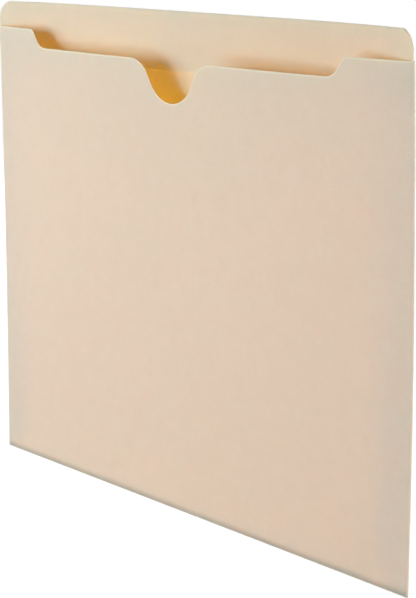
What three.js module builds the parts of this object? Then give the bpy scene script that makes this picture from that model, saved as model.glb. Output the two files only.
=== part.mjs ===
// File jacket: one die-cut blank of manila card folded into a flat pocket, with a two-ply tab.
// Millimetres. +X runs along the width, the front panel faces -Y, +Z is up.
// The origin is the middle of the bounding box's bottom face, where the bottom fold stands.
import * as THREE from 'three';

// The card and the glue
const card = 0.28;
const glueFilm = 0.05;
const glueGap = 0.05;
const clearance = 0.3;

// Overall size of the folded jacket
const jacketWidth = 298.45;
const jacketHeight = 241.3;
const tabHeight = 13;

// Tab: rounded corners that meet the top edge at a slight angle, and a second ply inside
const tabCornerRadius = 9.5;
const tabCornerSweep = 75;
const plyDepth = 28.6;
const plyGlueInset = 3;

// Mouth of the front panel: shoulders, a lower shelf between them and a thumb cut in the middle
const shoulderWidth = 36.5;
const shoulderCornerRadius = 1.5;
const rampAngle = 55;
const rampFillet = 9;
const shelfDrop = 9;
const thumbDepth = 20;
const thumbRadius = 17;
const thumbWallAngle = 60;
const thumbShoulderRadius = 13;

// Both sheets bow apart at the mouth, and lie together at the bottom fold and the side folds
const frontBow = 6.4;
const backBow = 8.6;
const bowFlatness = 3.85;

// Seam flaps: turned round the back panel's edges and glued to its rear
const flapWidth = 19;
const flapTaperTop = 9;
const flapTaperBottom = 12;
const flapTaperWidth = 15;
const seamGlueInset = 2.5;

// Bottom fold: a crease pressed flat where it stands
const creaseHeight = 0.6;
const creaseCornerRadius = 0.35;

// Fineness of the curves
const columnStep = 5;
const arcStep = 9;
const rowCount = 8;

// Layers from the back panel's inner face, which is the plane y = 0 at the folds
const sheetGap = glueFilm + 2 * glueGap;
const pocketGap = sheetGap + card + clearance;
const frontOuter = -pocketGap - card;
const flapInner = card + sheetGap;
const flapOuter = flapInner + card;

// The side fold wraps from the front panel's face to the flap's face
const foldRadius = (flapOuter - frontOuter) / 2;
const foldCentreY = (flapOuter + frontOuter) / 2;
const foldLine = jacketWidth / 2 - foldRadius;
const backHalfWidth = foldLine - clearance;
const frontHalfWidth = foldLine - clearance;
const shoulderHeight = jacketHeight - tabHeight;
const frontFoot = creaseHeight + clearance;
const shelfHeight = shoulderHeight - shelfDrop;
const plyFoot = jacketHeight - plyDepth;

const radians = THREE.MathUtils.degToRad;

const manila = new THREE.MeshStandardMaterial({ color: 0xe0d1bc, roughness: 0.85, metalness: 0 });
const manilaInside = new THREE.MeshStandardMaterial({ color: 0xe3d2bd, roughness: 0.85, metalness: 0 });
const dryGlue = new THREE.MeshStandardMaterial({ color: 0xece4cf, roughness: 0.5, metalness: 0 });

// How far a sheet stands out at (x, z), as a share of its bow: straight lines up from the bottom fold
function bowShare(x, z) {
  const across = 1 - Math.pow(Math.abs(x) / foldLine, bowFlatness);
  const up = (z - creaseHeight) / (shoulderHeight - creaseHeight);
  return across * up;
}

const frontSurface = (x, z) => -pocketGap - frontBow * bowShare(x, z);
const backSurface = (x, z) => backBow * bowShare(x, z);

// Corners joined by straight lines, each corner rounded by its own radius: [x, z, radius] from left to right
function roundedLine(corners) {
  const path = new THREE.Path();
  path.moveTo(corners[0][0], corners[0][1]);
  for (let i = 1; i < corners.length - 1; i += 1) {
    const corner = new THREE.Vector2(corners[i][0], corners[i][1]);
    const radius = corners[i][2];
    const back = new THREE.Vector2(corners[i - 1][0], corners[i - 1][1]).sub(corner).normalize();
    const ahead = new THREE.Vector2(corners[i + 1][0], corners[i + 1][1]).sub(corner).normalize();
    const half = Math.acos(THREE.MathUtils.clamp(back.dot(ahead), -1, 1)) / 2;
    const reach = radius / Math.tan(half);
    const middle = back.clone().add(ahead).normalize();
    const centre = corner.clone().addScaledVector(middle, radius / Math.sin(half));
    const start = corner.clone().addScaledVector(back, reach);
    const end = corner.clone().addScaledVector(ahead, reach);
    const clockwise = back.cross(ahead) > 0;
    path.lineTo(start.x, start.y);
    path.absarc(centre.x, centre.y, radius, start.sub(centre).angle(), end.sub(centre).angle(), clockwise);
  }
  const last = corners[corners.length - 1];
  path.lineTo(last[0], last[1]);
  return path;
}

// Points along a path from left to right: short steps round its arcs, even steps along its straight runs
function stationsAlong(path) {
  const stations = [];
  for (const curve of path.curves) {
    const turn = curve.isEllipseCurve ? Math.abs(arcTurn(curve)) : 0;
    const byTurn = Math.ceil(turn / radians(arcStep));
    const byLength = Math.ceil(curve.getLength() / columnStep);
    stations.push(...curve.getSpacedPoints(Math.max(byTurn, byLength, 1)));
  }
  return stations.filter((point, i) => i === 0 || point.distanceTo(stations[i - 1]) > 1e-6);
}

function arcTurn(curve) {
  const whole = 2 * Math.PI;
  const turn = (((curve.aEndAngle - curve.aStartAngle) % whole) + whole) % whole;
  return curve.aClockwise ? whole - turn : turn;
}

// The front panel's top edge, left to right
function mouthLine() {
  const wall = radians(thumbWallAngle);
  const rampTop = foldLine + foldRadius - shoulderWidth;
  const rampFoot = rampTop - shelfDrop / Math.tan(radians(rampAngle));
  const thumbCentre = shelfHeight - thumbDepth + thumbRadius;
  const thumbVertex = thumbCentre - thumbRadius / Math.cos(wall);
  const thumbTop = (shelfHeight - thumbVertex) / Math.tan(wall);
  return roundedLine([
    [-frontHalfWidth, shoulderHeight, 0],
    [-rampTop, shoulderHeight, shoulderCornerRadius],
    [-rampFoot, shelfHeight, rampFillet],
    [-thumbTop, shelfHeight, thumbShoulderRadius],
    [0, thumbVertex, thumbRadius],
    [thumbTop, shelfHeight, thumbShoulderRadius],
    [rampFoot, shelfHeight, rampFillet],
    [rampTop, shoulderHeight, shoulderCornerRadius],
    [frontHalfWidth, shoulderHeight, 0],
  ]);
}

// The tab's top edge, left to right, with its two rounded corners
function tabLine() {
  const sweep = radians(tabCornerSweep);
  const centreX = backHalfWidth - tabCornerRadius;
  const centreZ = jacketHeight - tabCornerRadius * Math.sin(sweep);
  const path = new THREE.Path();
  path.absarc(-centreX, centreZ, tabCornerRadius, Math.PI, Math.PI - sweep, true);
  path.lineTo(centreX + tabCornerRadius * Math.cos(sweep), jacketHeight);
  path.absarc(centreX, centreZ, tabCornerRadius, sweep, 0, true);
  return path;
}

// A bent sheet: columns of points across the width, each a row of heights, skinned front and rear
function bentSheet(columns, surface, frontOffset, rearOffset) {
  const rows = columns[0].heights.length;
  const positions = [];
  for (const offset of [frontOffset, rearOffset]) {
    for (const { x, heights } of columns) {
      heights.forEach((z) => positions.push(x, surface(x, z) + offset, z));
    }
  }
  const front = (i, j) => i * rows + j;
  const rear = (i, j) => (columns.length + i) * rows + j;
  const index = [];
  const quad = (a, b, c, d) => index.push(a, b, c, a, c, d);
  const lastColumn = columns.length - 1;
  const lastRow = rows - 1;
  for (let i = 0; i < lastColumn; i += 1) {
    for (let j = 0; j < lastRow; j += 1) {
      quad(front(i, j), front(i + 1, j), front(i + 1, j + 1), front(i, j + 1));
      quad(rear(i, j), rear(i, j + 1), rear(i + 1, j + 1), rear(i + 1, j));
    }
    quad(front(i, 0), rear(i, 0), rear(i + 1, 0), front(i + 1, 0));
    quad(front(i, lastRow), front(i + 1, lastRow), rear(i + 1, lastRow), rear(i, lastRow));
  }
  for (let j = 0; j < lastRow; j += 1) {
    quad(front(0, j), front(0, j + 1), rear(0, j + 1), rear(0, j));
    quad(front(lastColumn, j), rear(lastColumn, j), rear(lastColumn, j + 1), front(lastColumn, j + 1));
  }
  const geometry = new THREE.BufferGeometry();
  geometry.setAttribute('position', new THREE.Float32BufferAttribute(positions, 3));
  geometry.setIndex(index);
  geometry.computeVertexNormals();
  return geometry;
}

// Heights from low to high in even steps, both ends included
function heightsBetween(low, high, steps) {
  return Array.from({ length: steps + 1 }, (_, j) => THREE.MathUtils.lerp(low, high, j / steps));
}

// Even columns from one x to another, with the foot and head of each given by a function of x
function columnsBetween(from, to, footAt, headAt, steps) {
  const count = Math.ceil((to - from) / (columnStep / 2));
  return Array.from({ length: count + 1 }, (_, i) => {
    const x = THREE.MathUtils.lerp(from, to, i / count);
    return { x, heights: heightsBetween(footAt(x), headAt(x), steps) };
  });
}

function part(name, geometry, material) {
  const mesh = new THREE.Mesh(geometry, material);
  mesh.name = name;
  return mesh;
}

function frontPanel() {
  const columns = stationsAlong(mouthLine()).map((point) => ({
    x: point.x,
    heights: heightsBetween(frontFoot, point.y, rowCount),
  }));
  return part('front_panel', bentSheet(columns, frontSurface, -card, 0), manila);
}

function backPanel() {
  const columns = stationsAlong(tabLine()).map((point) => ({
    x: point.x,
    heights: [...heightsBetween(creaseHeight, plyFoot, rowCount), (plyFoot + point.y) / 2, point.y],
  }));
  return part('back_panel', bentSheet(columns, backSurface, 0, card), manilaInside);
}

function tabReinforcementPly() {
  const columns = stationsAlong(tabLine()).map((point) => ({
    x: point.x,
    heights: heightsBetween(plyFoot, point.y, 2),
  }));
  return part('tab_reinforcement_ply', bentSheet(columns, backSurface, -sheetGap - card, -sheetGap), manilaInside);
}

function tabPlyGlue() {
  const reach = backHalfWidth - tabCornerRadius;
  const foot = () => plyFoot + plyGlueInset;
  const head = () => jacketHeight - plyGlueInset;
  const columns = columnsBetween(-reach, reach, foot, head, 2);
  return part('tab_ply_glue', bentSheet(columns, backSurface, -glueGap - glueFilm, -glueGap), dryGlue);
}

// A band of card bent half way round: the section of a side fold, open towards -X
function halfRing(outer, inner) {
  const shape = new THREE.Shape();
  shape.absarc(0, 0, outer, -Math.PI / 2, Math.PI / 2, false);
  shape.absarc(0, 0, inner, Math.PI / 2, -Math.PI / 2, true);
  shape.closePath();
  return shape;
}

function sideFold(name, side) {
  const length = shoulderHeight - frontFoot;
  const section = halfRing(foldRadius, foldRadius - card);
  const geometry = new THREE.ExtrudeGeometry(section, { depth: length, bevelEnabled: false, curveSegments: 12 });
  if (side < 0) {
    geometry.rotateZ(Math.PI);
  }
  const fold = part(name, geometry, manila);
  fold.position.set(side * foldLine, foldCentreY, frontFoot);
  return fold;
}

// Distance of x in from the fold line, as a share of the tapered part of the flap
function taperAt(x, side) {
  const inwards = foldLine - side * x;
  return Math.max(0, inwards - (flapWidth - flapTaperWidth)) / flapTaperWidth;
}

function flapSpan(side, inset) {
  const inner = foldLine - flapWidth + inset;
  const outer = foldLine - inset;
  return side > 0 ? [inner, outer] : [-outer, -inner];
}

function flapFoot(side, inset) {
  return (x) => frontFoot + inset + flapTaperBottom * taperAt(x, side);
}

function flapHead(side, inset) {
  return (x) => shoulderHeight - clearance - inset - flapTaperTop * taperAt(x, side);
}

function seamFlap(name, side) {
  const [from, to] = flapSpan(side, 0);
  const columns = columnsBetween(from, to, flapFoot(side, 0), flapHead(side, 0), rowCount);
  return part(name, bentSheet(columns, backSurface, flapInner, flapOuter), manila);
}

function seamGlue(name, side) {
  const [from, to] = flapSpan(side, seamGlueInset);
  const foot = flapFoot(side, seamGlueInset);
  const head = flapHead(side, seamGlueInset);
  const columns = columnsBetween(from, to, foot, head, rowCount);
  const film = card + glueGap;
  return part(name, bentSheet(columns, backSurface, film, film + glueFilm), dryGlue);
}

// A channel of card under the pocket, its floor pressed flat, its two walls standing up to the panels
function bottomFold() {
  const left = frontOuter;
  const right = card;
  const r = creaseCornerRadius;
  const innerR = Math.max(r - card, card / 8);
  const section = new THREE.Shape();
  section.moveTo(left, creaseHeight);
  section.absarc(left + r, r, r, Math.PI, 1.5 * Math.PI, false);
  section.absarc(right - r, r, r, 1.5 * Math.PI, 2 * Math.PI, false);
  section.lineTo(right, creaseHeight);
  section.lineTo(right - card, creaseHeight);
  section.absarc(right - card - innerR, card + innerR, innerR, 0, -Math.PI / 2, true);
  section.absarc(left + card + innerR, card + innerR, innerR, -Math.PI / 2, -Math.PI, true);
  section.lineTo(left + card, creaseHeight);
  section.closePath();
  const length = 2 * backHalfWidth;
  const geometry = new THREE.ExtrudeGeometry(section, { depth: length, bevelEnabled: false, curveSegments: 8 });
  geometry.translate(0, 0, -length / 2);
  const fold = part('bottom_fold', geometry, manila);
  const sectionToRow = new THREE.Matrix4().makeBasis(
    new THREE.Vector3(0, 1, 0),
    new THREE.Vector3(0, 0, 1),
    new THREE.Vector3(1, 0, 0),
  );
  fold.quaternion.setFromRotationMatrix(sectionToRow);
  return fold;
}

const jacket = new THREE.Group();
jacket.name = 'file_jacket';
jacket.add(
  backPanel(),
  tabReinforcementPly(),
  tabPlyGlue(),
  bottomFold(),
  frontPanel(),
  sideFold('left_side_fold', -1),
  sideFold('right_side_fold', 1),
  seamFlap('left_seam_flap', -1),
  seamFlap('right_seam_flap', 1),
  seamGlue('left_seam_glue', -1),
  seamGlue('right_seam_glue', 1),
);

// The origin goes midway between the foremost and rearmost points
const reach = new THREE.Box3().setFromObject(jacket);
jacket.position.y = -(reach.min.y + reach.max.y) / 2;

export default jacket;
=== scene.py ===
"""The looks of a file jacket: sheets, folds and flaps of manila card, and the adhesive that holds them."""

import bpy
import numpy as np
from mathutils import Matrix, Vector


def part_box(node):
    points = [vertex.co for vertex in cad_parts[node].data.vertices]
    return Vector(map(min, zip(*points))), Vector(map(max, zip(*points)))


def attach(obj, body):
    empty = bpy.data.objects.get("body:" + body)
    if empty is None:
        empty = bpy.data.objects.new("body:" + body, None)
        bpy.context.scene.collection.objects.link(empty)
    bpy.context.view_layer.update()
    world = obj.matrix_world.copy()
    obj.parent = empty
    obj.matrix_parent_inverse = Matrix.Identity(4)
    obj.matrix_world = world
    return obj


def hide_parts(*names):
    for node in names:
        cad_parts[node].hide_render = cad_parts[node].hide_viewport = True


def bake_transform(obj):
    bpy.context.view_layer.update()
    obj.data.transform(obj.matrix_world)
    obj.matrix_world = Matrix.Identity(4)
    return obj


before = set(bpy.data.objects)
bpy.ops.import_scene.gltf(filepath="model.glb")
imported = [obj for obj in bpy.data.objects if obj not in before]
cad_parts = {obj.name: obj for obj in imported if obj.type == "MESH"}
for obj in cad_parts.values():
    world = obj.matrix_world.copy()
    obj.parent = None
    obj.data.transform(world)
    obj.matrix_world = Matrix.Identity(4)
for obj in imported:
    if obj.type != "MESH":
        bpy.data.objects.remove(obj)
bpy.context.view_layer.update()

MM = 0.001

# The card and the cuts of the folded blank, in the sizes of the part's source; but the folds are pressed
# flatter, and the corners of the mouth's two shoulders are rounder
CARD = 0.28 * MM
WIDTH = 298.45 * MM
HEIGHT = 241.3 * MM
SHOULDERS = 228.3 * MM
CREASE_TOP = 0.6 * MM
CREASE_CORNER = 0.3 * MM
CREASE_INNER_CORNER = CARD / 8
POCKET_GAP = 0.1 * MM
FOLD_LINE = 148.365 * MM
BACK_HALF_WIDTH = 148.065 * MM
TAB_CORNER = 9.5 * MM
TAB_CORNER_SWEEP = np.radians(75)
PLY_FOOT = 212.7 * MM
PLY_GAP = 0.15 * MM
PLY_FILM = 0.05 * MM
PLY_FILM_INSET = 3 * MM
SHOULDER_WIDTH = 36.5 * MM
SHOULDER_CORNER = 3.5 * MM
RAMP_ANGLE = np.radians(55)
RAMP_FILLET = 9 * MM
SHELF_DROP = 9 * MM
THUMB_DEPTH = 20 * MM
THUMB_RADIUS = 17 * MM
THUMB_WALL = np.radians(60)
THUMB_SHOULDER = 13 * MM
FRONT_BOW = 7.03 * MM
BACK_BOW = 8.6 * MM
BOW_FLATNESS = 3.85
WRAP_FOOT = 0.15 * MM
FLAP_WIDTH = 19 * MM
FLAP_TAPER_WIDTH = 15 * MM
FLAP_TAPER_TOP = 9 * MM
FLAP_TAPER_BOTTOM = 12 * MM
FLAP_END_GAP = 0.3 * MM
FLAP_GAP = 0.36 * MM
SEAM_FILM = (0.02 * MM, 0.06 * MM)
SEAM_FILM_INSET = 2.5 * MM

# How the card has settled: the side folds lean back in the middle of their height
LEFT_LEAN = 0.75 * MM
RIGHT_LEAN = 1.55 * MM

# The slow waves of the sheets: height, run across and run up for one radian, and share of the phase
WAVES = (
    (0.16 * MM, 33.4 * MM, 61 * MM, 1.0),
    (0.09 * MM, 20.7 * MM, -38 * MM, 2.1),
    (0.05 * MM, 14.3 * MM, 17 * MM, 3.7),
)
FRONT_PHASE = 0.4
BACK_PHASE = 1.9

# How far a cut edge bulges out between the two faces of the card, where the rows of the bulge lie on its half
# circle, and the power that makes the bulge fuller than a circle
EDGE_ROUND = 0.1 * MM
EDGE_TURNS = np.radians([40, 90, 140])
EDGE_FULLNESS = 0.6

# How far from a cut edge the painted highlight along it starts to fade, and where it ends
EDGE_HIGHLIGHT_FADE = (0.35 * MM, 0.9 * MM)

# How fine the grids are: the longest step along a cut edge, the points on a rounded corner, and the powers
# that crowd the rows at a cut edge and the columns at a fold
CUT_STEP = 1.5 * MM
CORNER_POINTS = 15
TAB_CORNER_POINTS = 19
ROW_CROWDING = 1.7
FLAP_CROWDING = 1.4

# The sides of a sheet's grid, in the order in which its border runs
FOOT, RIGHT, HEAD, LEFT = range(4)

# Where the back panel's inner face lies at the folds
INNER_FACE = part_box("back_panel")[0].y


def unit(vectors):
    """Each vector over its own length."""
    return vectors / np.linalg.norm(vectors, axis=-1, keepdims=True)


def bow_share(x, z):
    """A sheet's share of its full bow at (x, z): none at the folds and the crease, all in the mouth's middle.

    1 less |x| over the fold line to the power of the flatness, times the height above the crease over the
    shoulders' height above it.
    """
    across = 1 - np.abs(x / FOLD_LINE) ** BOW_FLATNESS
    return across * (z - CREASE_TOP) / (SHOULDERS - CREASE_TOP)


def fold_lean(x, z):
    """A sine arch up the height, times a rise that goes evenly from the left lean to the right lean."""
    rise = LEFT_LEAN + (RIGHT_LEAN - LEFT_LEAN) * (x / WIDTH + 0.5)
    return rise * np.sin(np.pi * z / SHOULDERS)


def waviness(x, z, phase):
    """The sum of three sines: height * sin(x / run across + z / run up + share * phase).

    They are 210, 130 and 90 mm long across the sheet, and fade to nothing at the folds as the bow does.
    """
    wave = sum(high * np.sin(x / across + z / up + share * phase) for high, across, up, share in WAVES)
    return wave * np.clip(bow_share(x, z), 0, 1)


def front_sheet(x, z):
    """The front panel's inner face: out from the back panel's by the pocket's gap and by its bow."""
    settled = fold_lean(x, z) + waviness(x, z, FRONT_PHASE)
    return INNER_FACE - POCKET_GAP - FRONT_BOW * bow_share(x, z) + settled


def back_sheet(x, z):
    """The back panel's inner face: its bow to the rear, with the lean of the folds."""
    return INNER_FACE + BACK_BOW * bow_share(x, z) + fold_lean(x, z) + waviness(x, z, BACK_PHASE)


def rounded_line(corners):
    """Straight runs between corners (x, z, radius), and at each inner one an arc that touches both runs."""
    runs = [np.array([corners[0][:2]])]
    for before, corner, after in zip(corners, corners[1:], corners[2:]):
        here = np.array(corner[:2])
        back, ahead = unit(np.array(before[:2]) - here), unit(np.array(after[:2]) - here)
        half = np.arccos(np.clip(back @ ahead, -1, 1)) / 2
        centre = here + unit(back + ahead) * corner[2] / np.sin(half)
        start = here + back * corner[2] / np.tan(half) - centre
        turn = (np.pi - 2 * half) * np.sign(ahead[0] * back[1] - ahead[1] * back[0])
        angles = np.arctan2(start[1], start[0]) + turn * np.linspace(0, 1, CORNER_POINTS)
        runs.append(centre + corner[2] * np.stack([np.cos(angles), np.sin(angles)], axis=1))
    runs.append(np.array([corners[-1][:2]]))
    return stepped(np.concatenate(runs))


def stepped(line):
    """The same line with points added to its straight runs, so that no two are further apart than a step."""
    lengths = np.linalg.norm(np.diff(line, axis=0), axis=1)
    counts = np.maximum(np.ceil(lengths / CUT_STEP), 1).astype(int)
    at = np.concatenate([i + np.arange(n) / n for i, n in enumerate(counts)] + [[len(counts)]])
    whole = np.arange(len(line))
    return np.stack([np.interp(at, whole, line[:, 0]), np.interp(at, whole, line[:, 1])], axis=1)


def mouth_line():
    """The front panel's top edge, fold to fold: shoulder, step, shelf, thumb cut, shelf, step, shoulder."""
    shelf = SHOULDERS - SHELF_DROP
    step_top = WIDTH / 2 - SHOULDER_WIDTH
    step_foot = step_top - SHELF_DROP / np.tan(RAMP_ANGLE)
    cut_foot = shelf - THUMB_DEPTH + THUMB_RADIUS - THUMB_RADIUS / np.cos(THUMB_WALL)
    cut_top = (shelf - cut_foot) / np.tan(THUMB_WALL)
    return rounded_line([
        (-FOLD_LINE, SHOULDERS, 0),
        (-step_top, SHOULDERS, SHOULDER_CORNER),
        (-step_foot, shelf, RAMP_FILLET),
        (-cut_top, shelf, THUMB_SHOULDER),
        (0, cut_foot, THUMB_RADIUS),
        (cut_top, shelf, THUMB_SHOULDER),
        (step_foot, shelf, RAMP_FILLET),
        (step_top, SHOULDERS, SHOULDER_CORNER),
        (FOLD_LINE, SHOULDERS, 0),
    ])


def tab_line():
    """The tab's top edge: a corner arc that starts upright, a straight run, and the same arc mirrored."""
    centre_x = BACK_HALF_WIDTH - TAB_CORNER
    centre_z = HEIGHT - TAB_CORNER * np.sin(TAB_CORNER_SWEEP)
    angles = TAB_CORNER_SWEEP * np.linspace(0, 1, TAB_CORNER_POINTS)
    right = np.stack([centre_x + TAB_CORNER * np.cos(angles), centre_z + TAB_CORNER * np.sin(angles)], axis=1)
    left = right * (-1, 1)
    return stepped(np.concatenate([left, right[::-1]]))


def columns_down(line, foot, rows):
    """Columns hung from a top edge: z is the head less the column's length times v to the crowding's power.

    So the rows crowd together at the cut edge, where the light changes most.
    """
    v = np.linspace(0, 1, rows)[::-1, None] ** ROW_CROWDING
    x = np.repeat(line[None, :, 0], rows, axis=0)
    z = line[None, :, 1] - (line[None, :, 1] - foot) * v
    return x, z


def mesh_piece(name, points, faces, material, distance_for_highlight=None):
    """A smooth mesh of points and quads, with each point's share of the painted edge highlight kept on it.

    The share is 1 up to the start of the fade, and falls evenly to 0 at its end.
    """
    mesh = bpy.data.meshes.new(name)
    mesh.from_pydata(points.tolist(), [], faces.tolist())
    mesh.polygons.foreach_set("use_smooth", np.ones(len(faces), bool))
    if distance_for_highlight is not None:
        kept = mesh.attributes.new("edge_highlight_share", "FLOAT", "POINT")
        kept.data.foreach_set("value", np.interp(distance_for_highlight, EDGE_HIGHLIGHT_FADE, (1, 0)).astype(np.float32))
    mesh.materials.append(material)
    mesh.update()
    piece = bpy.data.objects.new(name, mesh)
    bpy.context.scene.collection.objects.link(piece)
    return piece


def card_solid(name, front, rear, material, distance_for_highlight=None, cut=(), joined=None):
    """A sheet between two grids of points, row by row up the sheet and column by column to the right.

    Its border is the front grid's and the rear grid's, joined by rows that bulge on a turn from one to the
    other: middle + half the thickness * cos + outwards * round * sin to the power of the fullness. The sides
    that are cut are rounded, and the others are flat. A joined side has no wall, because the next piece goes
    on there.
    """
    rows, columns = front.shape[:2]
    number = np.arange(rows * columns).reshape(rows, columns)
    sides = [number[0, :-1], number[:-1, -1], number[-1, :0:-1], number[:0:-1, 0]]
    loop = np.concatenate(sides)
    front, rear = front.reshape(-1, 3), rear.reshape(-1, 3)
    middle, half = (front[loop] + rear[loop]) / 2, (front[loop] - rear[loop]) / 2
    along = np.roll(middle, -1, axis=0) - np.roll(middle, 1, axis=0)
    outwards = unit(np.cross(along, half))
    bulge = [np.full(len(side), EDGE_ROUND if i in cut else 0.0) for i, side in enumerate(sides)]
    bulge = np.concatenate(bulge)[:, None]
    rim = [
        middle + half * np.cos(turn) + outwards * bulge * np.sin(turn) ** EDGE_FULLNESS
        for turn in EDGE_TURNS
    ]
    points = np.concatenate([front, rear, *rim])
    quads = np.stack([number[:-1, :-1], number[:-1, 1:], number[1:, 1:], number[1:, :-1]], axis=-1)
    quads = quads.reshape(-1, 4)
    rings = [loop]
    rings += [2 * rows * columns + i * len(loop) + np.arange(len(loop)) for i in range(len(EDGE_TURNS))]
    rings.append(loop + rows * columns)
    walled = np.concatenate([np.full(len(side), i != joined) for i, side in enumerate(sides)])
    bands = [
        np.stack([near, far, np.roll(far, -1), np.roll(near, -1)], axis=1)[walled]
        for near, far in zip(rings, rings[1:])
    ]
    faces = np.concatenate([quads, quads[:, ::-1] + rows * columns, *bands])
    if distance_for_highlight is not None:
        flat = distance_for_highlight.reshape(-1)
        distance_for_highlight = np.concatenate([flat, flat, *[flat[loop]] * len(EDGE_TURNS)])
    return mesh_piece(name, points, faces, material, distance_for_highlight)


def linear(code):
    """The linear red, green and blue of an sRGB hex colour."""
    srgb = np.array([int(code[i:i + 2], 16) for i in (1, 3, 5)]) / 255
    return np.where(srgb <= 0.04045, srgb / 12.92, ((srgb + 0.055) / 1.055) ** 2.4)


def rgba(colour):
    """A linear colour with full alpha, as a socket takes it."""
    return (*[float(c) for c in colour], 1.0)


def add_node(material, kind, settings=None, **links):
    """A node with its settings and its input values, each either a value or another node's output.

    An input is given by its name with underscores for spaces, or by an underscore and its number.
    """
    node = material.node_tree.nodes.new(kind)
    for key, value in (settings or {}).items():
        setattr(node, key, value)
    for key, value in links.items():
        socket = node.inputs[int(key[1:]) if key[1:].isdigit() else key.replace("_", " ")]
        if isinstance(value, bpy.types.NodeSocket):
            material.node_tree.links.new(value, socket)
        else:
            socket.default_value = value
    return node


def empty_material(name):
    """A material with nothing but its output node."""
    material = bpy.data.materials.new(name)
    material.use_nodes = True
    material.node_tree.nodes.clear()
    return material, material.node_tree.nodes.new("ShaderNodeOutputMaterial")


# What one sheet of the card sends back and what passes through it, and the share of that which still passes
# through the tab's two sheets, soaked with adhesive
MANILA = "#d4dfcf"
THROUGH_MANILA = "#955c0a"
TAB_PASSES = 0.72

# The share of a face's shader that glows with the light from behind it. Each colour is divided by the share
# of its own shader, so this share changes neither.
LET_THROUGH = 0.4

# How much brighter the card is painted along its cut edges: a painted highlight, as if the edges caught the
# light
EDGE_HIGHLIGHT_GAIN = 1.18

# The real sizes of the card's clouds of pulp and of its flecks of fibre, and its tooth, drawn coarser than it
# is so that it shows
CLOUD = 7 * MM
FLECK = 1.1 * MM
TOOTH = 0.5 * MM
TOOTH_DEPTH = 0.02 * MM

# The adhesive's colour in the light and against it, the share of the latter, and the size of its ripples
ADHESIVE = "#ece4cf"
CLEAR_ADHESIVE = "#fffaf0"
ADHESIVE_CLEARNESS = 0.97
RIPPLE = 2 * MM


def halved(back, through):
    """What each of two like layers sends back and lets through, when this is what the pair of them does.

    Light bounces between the layers, which adds up to 1 / (1 - back * back). So one layer's back is the
    pair's over 1 + through, and its through is the root of the pair's times 1 - back * back.
    """
    back = back / (1 + through)
    return back, np.sqrt(through * (1 - back ** 2))


def card_material(name, sheets):
    """Manila card: unbleached pulp pressed smooth, dull, faintly cloudy, and orange where light comes through.

    Light meets both faces of a sheet, so what the card sends back and lets through is halved for its faces.
    """
    material, output = empty_material(name)
    back, through = linear(MANILA), linear(THROUGH_MANILA)
    if sheets == 2:
        back, through = halved(back, through * TAB_PASSES)
    face, passing = halved(back, through)
    place = add_node(material, "ShaderNodeTexCoord").outputs["Object"]
    clouds = add_node(material, "ShaderNodeTexNoise", Vector=place, Scale=1 / CLOUD, Detail=3.0)
    flecks = add_node(material, "ShaderNodeTexNoise", Vector=place, Scale=1 / FLECK, Detail=2.0)
    cloud_tone = add_node(
        material, "ShaderNodeMapRange", Value=clouds.outputs[0],
        From_Min=0.3, From_Max=0.7, To_Min=0.985, To_Max=1.015)
    fleck_tone = add_node(
        material, "ShaderNodeMapRange", Value=flecks.outputs[0],
        From_Min=0.25, From_Max=0.75, To_Min=0.98, To_Max=1.02)
    # Painted highlight: the card is drawn brighter along its cut edges, as if they caught the light
    edge_highlight_share = add_node(material, "ShaderNodeAttribute", {"attribute_name": "edge_highlight_share"})
    highlight_tone = add_node(
        material, "ShaderNodeMapRange", Value=edge_highlight_share.outputs["Fac"], To_Min=1.0, To_Max=EDGE_HIGHLIGHT_GAIN)
    mottle = add_node(
        material, "ShaderNodeMath", {"operation": "MULTIPLY"},
        _0=cloud_tone.outputs[0], _1=fleck_tone.outputs[0])
    tone = add_node(
        material, "ShaderNodeMath", {"operation": "MULTIPLY"}, _0=mottle.outputs[0], _1=highlight_tone.outputs[0])
    body = add_node(
        material, "ShaderNodeVectorMath", {"operation": "SCALE"},
        _0=tuple(face / (1 - LET_THROUGH)), Scale=tone.outputs[0])
    tooth = add_node(material, "ShaderNodeTexNoise", Vector=place, Scale=1 / TOOTH, Detail=2.0)
    relief = add_node(
        material, "ShaderNodeBump", Strength=0.15, Distance=TOOTH_DEPTH, Height=tooth.outputs[0])
    surface = add_node(
        material, "ShaderNodeBsdfPrincipled", Base_Color=body.outputs[0], Roughness=0.85,
        Specular_IOR_Level=0.3, Normal=relief.outputs[0])
    glow = add_node(material, "ShaderNodeBsdfTranslucent", Color=rgba(passing / LET_THROUGH))
    mixed = add_node(
        material, "ShaderNodeMixShader", _0=LET_THROUGH, _1=surface.outputs[0], _2=glow.outputs[0])
    material.node_tree.links.new(mixed.outputs[0], output.inputs["Surface"])
    return material


def adhesive_material():
    """Dried dextrin adhesive: a thin, pale, slightly glossy film."""
    material, output = empty_material("dried dextrin adhesive")
    place = add_node(material, "ShaderNodeTexCoord").outputs["Object"]
    ripple = add_node(material, "ShaderNodeTexNoise", Vector=place, Scale=1 / RIPPLE, Detail=2.0)
    shade = add_node(
        material, "ShaderNodeMapRange", Value=ripple.outputs[0],
        From_Min=0.3, From_Max=0.7, To_Min=0.94, To_Max=1.0)
    colour = add_node(
        material, "ShaderNodeVectorMath", {"operation": "SCALE"},
        _0=tuple(linear(ADHESIVE)), Scale=shade.outputs[0])
    surface = add_node(material, "ShaderNodeBsdfPrincipled", Base_Color=colour.outputs[0], Roughness=0.4)
    clear = add_node(material, "ShaderNodeBsdfTranslucent", Color=rgba(linear(CLEAR_ADHESIVE)))
    mixed = add_node(
        material, "ShaderNodeMixShader", _0=ADHESIVE_CLEARNESS, _1=surface.outputs[0], _2=clear.outputs[0])
    material.node_tree.links.new(mixed.outputs[0], output.inputs["Surface"])
    return material


card = card_material("manila card", sheets=1)
laminated_card = card_material("laminated manila card", sheets=2)
adhesive = adhesive_material()


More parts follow.
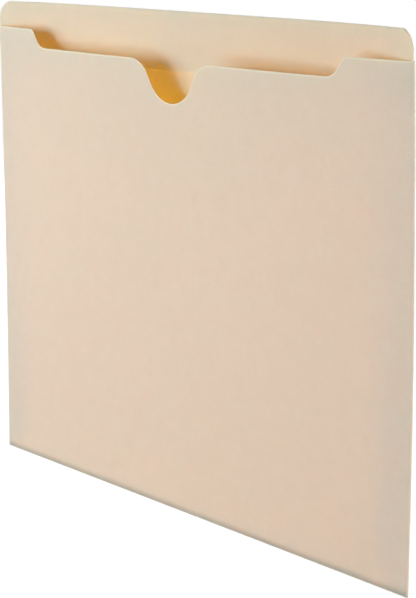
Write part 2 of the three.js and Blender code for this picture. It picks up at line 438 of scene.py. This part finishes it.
def sheet_piece(name, x, z, surface, offsets, material=card, distance_for_highlight=None, cut=(), joined=None):
    """A bent sheet or film: its two faces are the surface's y at (x, z), moved by the two offsets."""
    y = surface(x, z)
    front, rear = [np.stack([x, y + offset, z], axis=-1) for offset in offsets]
    return card_solid(name, front, rear, material, distance_for_highlight, cut, joined)


# The front sheet's two halves, both with the points in the middle
mouth = mouth_line()
about_zero = 1e-9
for name, half, start, joined in (
    ("front_panel_left", mouth[mouth[:, 0] <= about_zero], -FOLD_LINE, RIGHT),
    ("front_panel_right", mouth[mouth[:, 0] >= -about_zero], FOLD_LINE, LEFT),
):
    half = half - (0, EDGE_ROUND)
    x, z = columns_down(half, CREASE_TOP, rows=96)
    # The distance below the mouth's cut edge sets the painted highlight along it
    piece = sheet_piece(
        name, x, z, front_sheet, (-CARD, 0), distance_for_highlight=half[None, :, 1] - z, cut=(HEAD,), joined=joined)
    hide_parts("front_panel")
    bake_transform(piece)

# The back sheet, which is laminated from the ply's foot upwards, the ply, and the film between them
tab = tab_line() - (0, EDGE_ROUND)
x, z = columns_down(tab, CREASE_TOP, rows=100)
back_piece = sheet_piece("back_panel_sheet", x, z, back_sheet, (0, CARD), cut=(RIGHT, HEAD, LEFT))
x, z = columns_down(tab, PLY_FOOT + EDGE_ROUND, rows=34)
ply_piece = sheet_piece(
    "tab_ply_sheet", x, z, back_sheet, (-PLY_GAP - CARD, -PLY_GAP), laminated_card,
    cut=(FOOT, RIGHT, HEAD, LEFT))
back_piece.data.materials.append(laminated_card)
centres = np.empty(3 * len(back_piece.data.polygons), np.float32)
back_piece.data.polygons.foreach_get("center", centres)
back_piece.data.polygons.foreach_set("material_index", (centres[2::3] > PLY_FOOT).astype(np.int32))
film_reach = BACK_HALF_WIDTH - TAB_CORNER
x, z = np.meshgrid(
    np.linspace(-film_reach, film_reach, 140),
    np.linspace(PLY_FOOT + PLY_FILM_INSET, HEIGHT - PLY_FILM_INSET, 12))
ply_film = sheet_piece("tab_ply_adhesive", x, z, back_sheet, (-PLY_GAP + PLY_FILM, -PLY_FILM), adhesive)


def flap_ends(inset):
    """The foot and the head of a flap, or of a film that lies under it with an inset."""
    return CREASE_TOP + FLAP_END_GAP + inset, SHOULDERS - FLAP_END_GAP - inset


def flap_reach(z, inset):
    """How far a flap reaches in from the fold line at z: its full width, less its tapers at foot and head."""
    foot, head = flap_ends(inset)
    share = np.minimum((z - foot) / FLAP_TAPER_BOTTOM, (head - z) / FLAP_TAPER_TOP)
    return FLAP_WIDTH - FLAP_TAPER_WIDTH * (1 - np.clip(share, 0, 1)) - inset


def side_wrap(name, side):
    """The fold and its flap as one band of card, a profile of x and y carried up the height z.

    The profile turns round the fold on an arc that starts along the front panel's slope and ends along the
    back panel's, and then follows the back panel's rear inwards to the flap's own edge.
    """
    rows, turns, reach_steps = 150, 16, 30
    z = np.linspace(WRAP_FOOT, SHOULDERS - EDGE_ROUND, rows)[:, None]
    up = np.clip((z - CREASE_TOP) / (SHOULDERS - CREASE_TOP), 0, 1)
    front_slope = np.arctan(FRONT_BOW * BOW_FLATNESS / FOLD_LINE * up)
    back_slope = np.arctan(BACK_BOW * BOW_FLATNESS / FOLD_LINE * up)
    begin, end = front_slope - np.pi / 2, np.pi / 2 - back_slope
    depth = POCKET_GAP + CARD + FLAP_GAP + CARD
    radius = depth / (np.sin(end) - np.sin(begin))
    centre_x = FOLD_LINE - radius * np.cos(begin)
    centre_y = -POCKET_GAP - CARD - radius * np.sin(begin)
    angle = begin + (end - begin) * np.linspace(0, 1, turns)[None, :]
    grids = []
    for inward in (0, CARD):
        fold_x = centre_x + (radius - inward) * np.cos(angle)
        fold_y = INNER_FACE + centre_y + (radius - inward) * np.sin(angle) + fold_lean(side * FOLD_LINE, z)
        from_fold = flap_reach(z, 0) * np.linspace(0, 1, reach_steps + 1)[None, 1:] ** FLAP_CROWDING
        flap_x = FOLD_LINE - from_fold
        flap_y = back_sheet(side * flap_x, z) + FLAP_GAP + CARD - inward
        x, y = np.concatenate([fold_x, flap_x], axis=1), np.concatenate([fold_y, flap_y], axis=1)
        grids.append(np.stack([side * x, y, np.broadcast_to(z, x.shape)], axis=-1))
    outer, inner = grids if side > 0 else [grid[:, ::-1] for grid in grids]
    # The distance below the wrap's top cut edge sets the painted highlight along it
    distance_for_highlight = np.broadcast_to(SHOULDERS - z, outer.shape[:2])
    return card_solid(name, outer, inner, card, distance_for_highlight, (HEAD,))


def seam_film(name, side):
    """The adhesive under a flap: a film that follows the back panel's rear, inset from the flap's outline."""
    z = np.linspace(*flap_ends(SEAM_FILM_INSET), 60)[:, None]
    share = np.linspace(0, 1, 12)[None, :]
    reach = flap_reach(z, SEAM_FILM_INSET) - SEAM_FILM_INSET
    x = side * (FOLD_LINE - SEAM_FILM_INSET - reach * share)
    z = np.broadcast_to(z, x.shape)
    if side > 0:
        x = x[:, ::-1]
    return sheet_piece(name, x, z, back_sheet, (CARD + SEAM_FILM[0], CARD + SEAM_FILM[1]), adhesive)


for hand, side in (("left", -1), ("right", 1)):
    wrap = side_wrap(hand + "_side_wrap", side)
    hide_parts(hand + "_side_fold", hand + "_seam_flap")
    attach(wrap, "back")
    film = seam_film(hand + "_seam_adhesive", side)
    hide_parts(hand + "_seam_glue")
    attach(film, "back")


def bottom_crease():
    """The crease under the pocket: a U-shaped profile of y and z, flat below, carried along the width."""
    left, right = -POCKET_GAP - CARD, CARD
    x = np.linspace(-FOLD_LINE, FOLD_LINE, 240)[None, :]
    quarter = np.linspace(0, np.pi / 2, 9)
    grids = []
    for inward, radius in ((0, CREASE_CORNER), (CARD, CREASE_INNER_CORNER)):
        across, height = inward + radius * (1 - np.cos(quarter)), inward + radius * (1 - np.sin(quarter))
        turn_left = np.stack([left + across, height], axis=1)
        turn_right = np.stack([right - across, height], axis=1)[::-1]
        ends = [(left + inward, CREASE_TOP)], [(right - inward, CREASE_TOP)]
        profile = np.concatenate([ends[0], turn_left, turn_right, ends[1]])
        y, z = profile[:, :1], profile[:, 1:]
        whole = (len(profile), x.size)
        grid = np.stack([
            np.broadcast_to(x, whole), INNER_FACE + y + fold_lean(x, z), np.broadcast_to(z, whole)], axis=-1)
        grids.append(grid[::-1])
    outer, inner = grids
    return card_solid("bottom_crease", outer, inner, card)


crease = bottom_crease()
for piece, node, slot in (
    (back_piece, "back_panel", "manila_card"),
    (ply_piece, "tab_reinforcement_ply", "manila_card"),
    (ply_film, "tab_ply_glue", "dry_glue"),
    (crease, "bottom_fold", "manila_card"),
):
    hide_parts(node)
    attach(piece, "back")


# The photograph's camera, solved from the corners of the panels. The focal length, the picture's height and
# the row that the lens's axis meets are in pixels.
FOCAL_LENGTH = 1854.1
PICTURE_HEIGHT = 598
AXIS_ROW = 200
place = Vector((665.53, -550.63, 294.84)) * MM
ahead = Vector((-0.75182, 0.63919, -0.16187)).normalized()
above = Vector((-0.11988, 0.1089, 0.9868))
right = ahead.cross(above).normalized()
above = right.cross(ahead)
lens = bpy.data.cameras.new("camera")
lens.sensor_fit = "VERTICAL"
lens.sensor_height = 36.0
lens.lens = FOCAL_LENGTH / PICTURE_HEIGHT * lens.sensor_height
lens.shift_y = -(PICTURE_HEIGHT / 2 - AXIS_ROW) / PICTURE_HEIGHT
lens.clip_start = 0.05
lens.clip_end = 20.0
camera = bpy.data.objects.new("camera", lens)
camera.matrix_world = Matrix.Translation(place) @ Matrix((right, above, -ahead)).transposed().to_4x4()
bpy.context.scene.collection.objects.link(camera)
bpy.context.scene.camera = camera

# Where the lamps are aimed: a little below the jacket's mouth
LAMPS_AIM = Vector((0, 0, 0.2))


def lamp(name, azimuth, height, distance, size, energy):
    """A soft box that faces the jacket; azimuth 0 is in front of the front panel and grows to the right."""
    light = bpy.data.lights.new(name, "AREA")
    light.shape = "RECTANGLE"
    light.size, light.size_y = size
    light.energy = energy
    turn = np.radians(azimuth)
    where = Vector((distance * np.sin(turn), -distance * np.cos(turn), height))
    facing = (where - LAMPS_AIM).to_track_quat("Z", "Y").to_matrix().to_4x4()
    box = bpy.data.objects.new(name, light)
    box.matrix_world = Matrix.Translation(where) @ facing
    bpy.context.scene.collection.objects.link(box)


# Azimuth in degrees, height, distance and size in metres, and power in watts
for settings in (
    ("left softbox", -34, 0.28, 1.0, (0.9, 0.36), 6.25),
    ("low front softbox", 4, 0.06, 0.7, (0.5, 0.1), 0.85),
    ("right softbox", 84, 0.065, 1.0, (0.5, 0.1), 3.9),
    ("rear left softbox", -155, 0.22, 1.0, (1.0, 0.4), 7.3),
    ("rear right softbox", 135, 0.22, 1.0, (0.5, 0.4), 4.4),
):
    lamp(*settings)

# What the floor sends back of the lamps' light, how bright it shows near the jacket, how far off it starts to
# rise to white and is white, and the surroundings' light on the card
FLOOR_GREY = 0.55
FLOOR_NEAR_LEVEL = 0.9
FLOOR_RISE = (0.4, 1.2)
SURROUNDINGS_LIGHT = 0.006


def shown_to(holder):
    """1 for the rays that show the white surroundings: from the camera, off gloss and through clear things."""
    path = add_node(holder, "ShaderNodeLightPath").outputs
    clear = add_node(
        holder, "ShaderNodeMath", {"operation": "SUBTRACT", "use_clamp": True},
        _0=path["Is Transmission Ray"], _1=path["Is Diffuse Ray"])
    seen = add_node(
        holder, "ShaderNodeMath", {"operation": "MAXIMUM"},
        _0=path["Is Camera Ray"], _1=path["Is Glossy Ray"])
    seen = add_node(
        holder, "ShaderNodeMath", {"operation": "MAXIMUM"}, _0=seen.outputs[0], _1=clear.outputs[0])
    return seen.outputs[0]


def stage_material():
    """Matt white paper underfoot, seen as white, but a little less near the jacket, where shadows show."""
    material, output = empty_material("white paper floor")
    paper = add_node(material, "ShaderNodeBsdfDiffuse", Color=rgba([FLOOR_GREY] * 3))
    place = add_node(material, "ShaderNodeTexCoord").outputs["Object"]
    away = add_node(material, "ShaderNodeVectorMath", {"operation": "LENGTH"}, _0=place)
    level = add_node(
        material, "ShaderNodeMapRange", Value=away.outputs["Value"],
        From_Min=FLOOR_RISE[0], From_Max=FLOOR_RISE[1], To_Min=FLOOR_NEAR_LEVEL, To_Max=1.0)
    white = add_node(material, "ShaderNodeEmission", Color=rgba((1, 1, 1)), Strength=level.outputs[0])
    seen_paper = add_node(material, "ShaderNodeAddShader", _0=paper.outputs[0], _1=white.outputs[0])
    surface = add_node(
        material, "ShaderNodeMixShader",
        _0=shown_to(material), _1=paper.outputs[0], _2=seen_paper.outputs[0])
    material.node_tree.links.new(surface.outputs[0], output.inputs["Surface"])
    return material


floor_points = np.array([(-4, -4, 0), (4, -4, 0), (4, 4, 0), (-4, 4, 0)], float)
floor = mesh_piece("floor", floor_points, np.array([[0, 1, 2, 3]]), stage_material())

world = bpy.data.worlds.new("white surroundings")
bpy.context.scene.world = world
world.use_nodes = True
world.node_tree.nodes.clear()
level = add_node(
    world, "ShaderNodeMapRange", Value=shown_to(world), To_Min=SURROUNDINGS_LIGHT, To_Max=1.0)
background = add_node(world, "ShaderNodeBackground", Color=rgba((1, 1, 1)), Strength=level.outputs[0])
surroundings = add_node(world, "ShaderNodeOutputWorld")
world.node_tree.links.new(background.outputs[0], surroundings.inputs["Surface"])

bpy.context.scene.view_settings.view_transform = "Standard"

# Light that is caught between the sheets bounces many times before it leaves, and turns the pocket orange
bounces = bpy.context.scene.cycles
bounces.max_bounces = 32
bounces.diffuse_bounces = 16
bounces.transmission_bounces = 24
